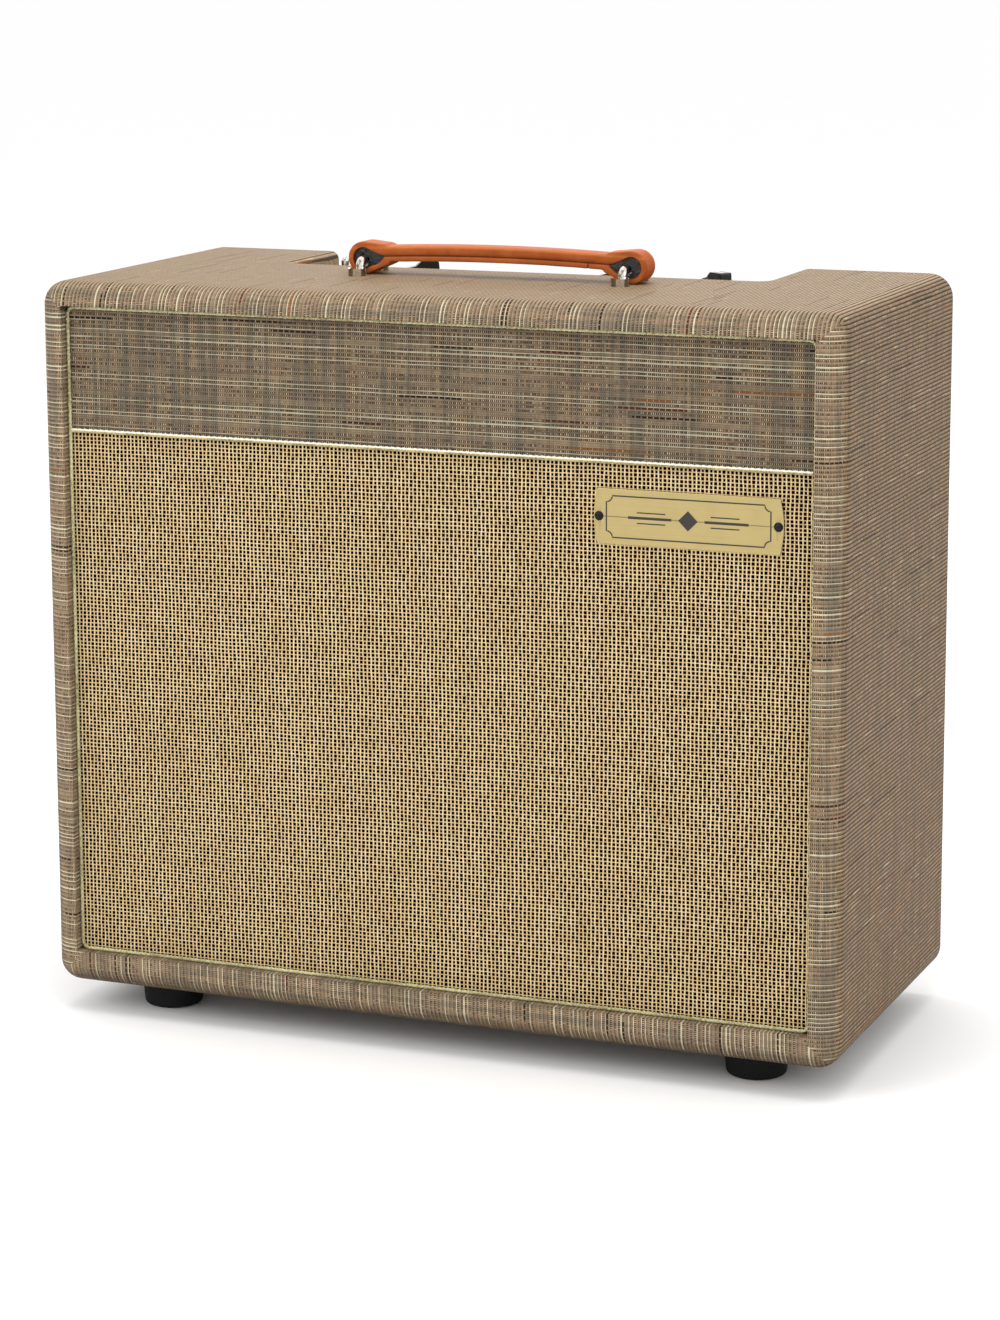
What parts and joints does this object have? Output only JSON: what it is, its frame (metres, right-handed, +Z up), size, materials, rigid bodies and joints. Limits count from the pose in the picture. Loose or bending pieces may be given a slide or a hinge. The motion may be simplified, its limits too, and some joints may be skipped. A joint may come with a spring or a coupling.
{
  "type": "guitar amplifier",
  "caption": "Upright guitar combo amplifier in woven covering, with a gold grille, leather strap handle, rear-notch control panel, open back and rubber feet.",
  "frame": {"origin": "centre of the bounding box on the floor, under the feet", "axes": "+X to the object's right as seen from the front, +Y to the back (the grille faces -Y), +Z up"},
  "size_m": [0.56, 0.253, 0.526],
  "materials": {
    "plywood": "birch plywood, unfinished",
    "plywood_dark": "plywood painted matt black",
    "softwood": "planed pine",
    "woven_covering": "lacquered woven vinyl cloth, taupe with darker ribs and slubs",
    "grille_weave": "open straw-gold grille weave",
    "gold_cord": "twisted gold cord piping",
    "plate_brass": "fine brushed",
    "black_steel": "black oxide",
    "foot_rubber": "matt moulded",
    "zinc_steel": "zinc plated",
    "nickel": "polished nickel",
    "strap_leather": "smooth vegetable-tanned, orange tan",
    "basket_paint": "stamped steel, grey paint",
    "ferrite": "sintered ferrite",
    "cone_paper": "pressed felted pulp",
    "surround_cloth": "doped cloth",
    "copper_coil": "kraft former with enamelled winding",
    "spider_cloth": "resin-dipped cotton",
    "cork_paper": "pressed cork paper",
    "lead_jacket": "twin insulated lead",
    "panel_gold": "brushed, pale gold anodised",
    "shaft_alu": "turned",
    "knob_black": "moulded phenolic",
    "lamp_jewel": "faceted red jewel in a nickel bezel",
    "board_fibre": "fibre board with fitted parts",
    "valve_glass": "clear, silvered top",
    "socket_phenolic": "moulded",
    "transformer_black": "semi-gloss black",
    "inlet_plastic": "moulded",
    "liner_plastic": "moulded"
  },
  "bodies": {
    "cabinet": {"side_left": "plywood", "side_right": "plywood", "top_board": "plywood", "bottom_board": "plywood", "covering": "woven_covering", "baffle_board": "plywood_dark", "baffle_cleats": "softwood", "baffle_screws": "black_steel", "fascia_panel": "plywood", "fascia_covering": "woven_covering", "grille_frame": "plywood_dark", "grille_cloth": "grille_weave", "piping_border": "gold_cord", "piping_divider": "gold_cord", "name_plate": "plate_brass", "plate_screws": "black_steel", "feet": "foot_rubber", "foot_screws": "zinc_steel", "rear_panel_upper": "woven_covering", "rear_panel_lower": "woven_covering", "rear_cleats": "softwood", "rear_screws": "nickel", "handle_bail_left": "nickel", "handle_bail_right": "nickel", "handle_nuts": "zinc_steel", "speaker_basket": "basket_paint", "speaker_magnet": "ferrite", "magnet_plates": "zinc_steel", "speaker_surround": "surround_cloth", "speaker_spider": "spider_cloth", "speaker_gasket": "cork_paper", "speaker_bolts": "black_steel", "speaker_lead": "lead_jacket", "chassis": "zinc_steel", "chassis_brackets": "zinc_steel", "chassis_bolts": "zinc_steel", "control_panel": "panel_gold", "pot_bodies": "zinc_steel", "switch_bodies": "nickel", "pilot_lamp": "lamp_jewel", "input_jacks": "nickel", "circuit_board": "board_fibre", "valves": "valve_glass", "valve_sockets": "socket_phenolic", "power_transformer": "transformer_black", "output_transformer": "transformer_black", "mains_inlet": "inlet_plastic"},
    "knob_volume_body": {"shaft_volume": "shaft_alu", "knob_volume": "knob_black"},
    "knob_tone_body": {"shaft_tone": "shaft_alu", "knob_tone": "knob_black"},
    "knob_reverb_body": {"shaft_reverb": "shaft_alu", "knob_reverb": "knob_black"},
    "power_lever": {"toggle_power": "nickel"},
    "standby_lever": {"toggle_standby": "nickel"},
    "strap": {"handle_strap": "strap_leather", "loop_liners": "liner_plastic", "handle_core": "zinc_steel"},
    "cone": {"speaker_cone": "cone_paper", "dust_cap": "cone_paper", "voice_coil": "copper_coil"}
  },
  "joints": [
    {"name": "volume_turn", "type": "hinge", "parent": "cabinet", "child": "knob_volume_body", "pos_m": [-0.089, 0.082, 0.487], "axis": [0, 0, 1], "range_deg": [-150, 150]},
    {"name": "tone_turn", "type": "hinge", "parent": "cabinet", "child": "knob_tone_body", "pos_m": [0.055, 0.082, 0.487], "axis": [0, 0, 1], "range_deg": [-150, 150]},
    {"name": "reverb_turn", "type": "hinge", "parent": "cabinet", "child": "knob_reverb_body", "pos_m": [0.127, 0.082, 0.487], "axis": [0, 0, 1], "range_deg": [-150, 150]},
    {"name": "power_flick", "type": "hinge", "parent": "cabinet", "child": "power_lever", "pos_m": [-0.149, 0.082, 0.486], "axis": [1, 0, 0], "range_deg": [0, 22]},
    {"name": "standby_flick", "type": "hinge", "parent": "cabinet", "child": "standby_lever", "pos_m": [-0.121, 0.082, 0.486], "axis": [1, 0, 0], "range_deg": [0, 22]},
    {"name": "strap_lift", "type": "slide", "parent": "cabinet", "child": "strap", "axis": [0, 0, 1], "range_m": [0, 0.0012]},
    {"name": "cone_travel", "type": "slide", "parent": "cabinet", "child": "cone", "axis": [0, 1, 0], "range_m": [-0.002, 0.002], "stiffness_N_per_m": 6500, "deforming": ["speaker_surround", "speaker_spider"]}
  ]
}
